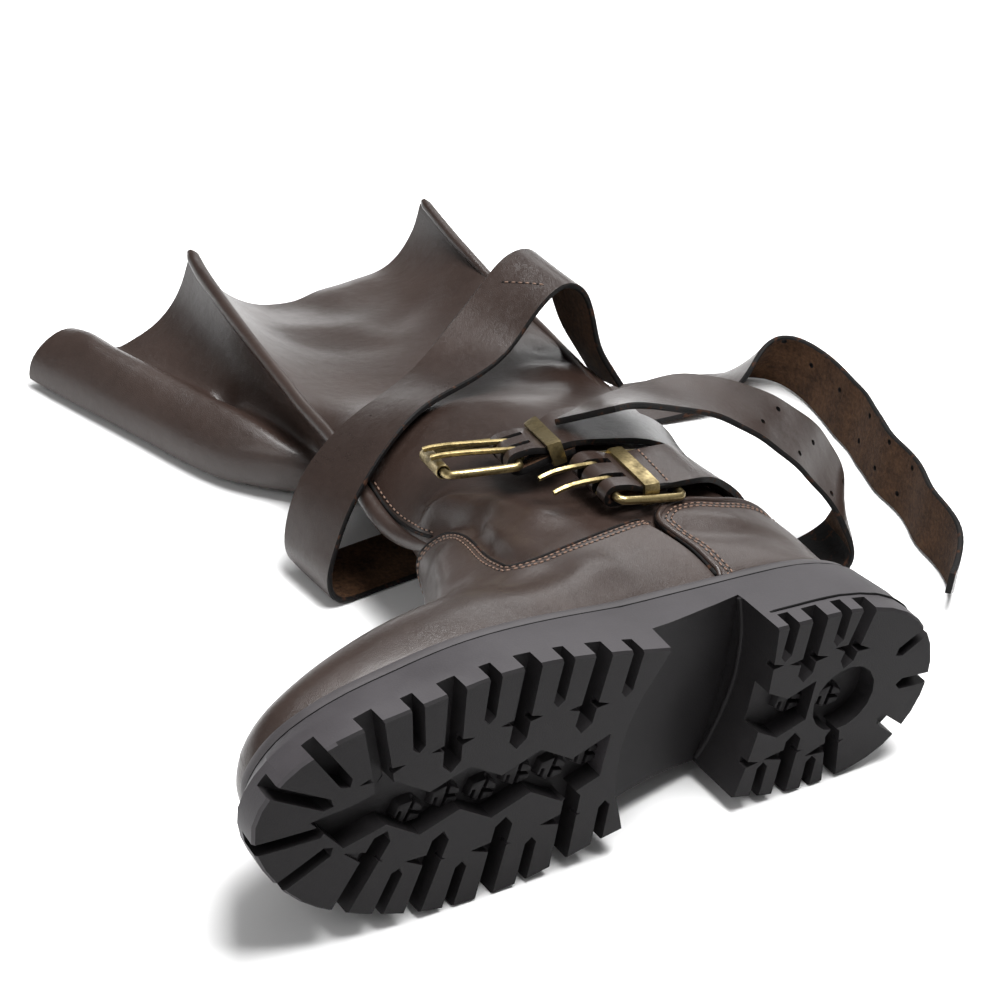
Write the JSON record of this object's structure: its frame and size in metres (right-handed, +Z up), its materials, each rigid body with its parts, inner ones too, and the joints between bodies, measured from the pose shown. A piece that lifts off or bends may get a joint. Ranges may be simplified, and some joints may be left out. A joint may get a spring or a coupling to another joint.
{
  "type": "biker boot",
  "caption": "Left biker boot with a lugged rubber sole, slack leather shaft, buckled ankle straps and loose wrap straps, lying on its inner side.",
  "frame": {"origin": "on the floor, below the centre of the lying boot's bounding box", "axes": "+Z up from the floor, +Y from the tread towards the collar, -X towards the toe; the boot's outer side faces up"},
  "size_m": [0.37, 0.3186, 0.0968],
  "materials": {
    "black_rubber": "matte moulded rubber",
    "grey_rubber": "satin grey rubber",
    "insole_board": "matt tan leather board",
    "brown_leather": "waxed dark brown leather",
    "strap_leather": "smooth dark brown strap leather with a brown suede back",
    "antique_brass": "aged brass"
  },
  "bodies": {
    "boot": {"outsole": "black_rubber", "welt": "grey_rubber", "insole": "insole_board", "upper": "brown_leather", "vamp": "brown_leather", "counter": "brown_leather", "front_seam": "brown_leather", "back_seam": "brown_leather", "wrap_strap": "strap_leather", "rear_strap": "strap_leather", "strap_tail": "strap_leather", "ankle_strap_upper": "strap_leather", "ankle_strap_lower": "strap_leather", "keeper_upper": "antique_brass", "keeper_lower": "antique_brass", "buckle_lower": "antique_brass"},
    "upper_frame": {"buckle_upper": "antique_brass"},
    "roller": {"roller_upper": "antique_brass"},
    "upper_prong_1": {"prong_upper_1": "antique_brass"},
    "upper_prong_2": {"prong_upper_2": "antique_brass"},
    "lower_prong_1": {"prong_lower_1": "antique_brass"},
    "lower_prong_2": {"prong_lower_2": "antique_brass"}
  },
  "joints": [
    {"name": "upper_frame_hinge", "type": "hinge", "parent": "boot", "child": "upper_frame", "pos_m": [-0.0096, -0.0354, 0.074], "axis": [0.3201, 0.8917, -0.3201], "range_deg": [0, 60]},
    {"name": "roller_turn", "type": "hinge", "parent": "upper_frame", "child": "roller", "pos_m": [-0.03478, -0.02706, 0.07206], "axis": [0.3201, 0.8917, -0.3201], "continuous": true},
    {"name": "upper_prong_1_hinge", "type": "hinge", "parent": "upper_frame", "child": "upper_prong_1", "pos_m": [-0.0096, -0.0354, 0.074], "axis": [0.3201, 0.8917, -0.3201], "range_deg": [0, 30]},
    {"name": "upper_prong_2_hinge", "type": "hinge", "parent": "upper_frame", "child": "upper_prong_2", "pos_m": [-0.0096, -0.0354, 0.074], "axis": [0.3201, 0.8917, -0.3201], "range_deg": [0, 30]},
    {"name": "lower_prong_1_hinge", "type": "hinge", "parent": "boot", "child": "lower_prong_1", "pos_m": [0.0044, -0.067, 0.0798], "axis": [0.0887, 0.9935, -0.071], "range_deg": [0, 90]},
    {"name": "lower_prong_2_hinge", "type": "hinge", "parent": "boot", "child": "lower_prong_2", "pos_m": [0.0044, -0.067, 0.0798], "axis": [0.0887, 0.9935, -0.071], "range_deg": [0, 90]}
  ]
}
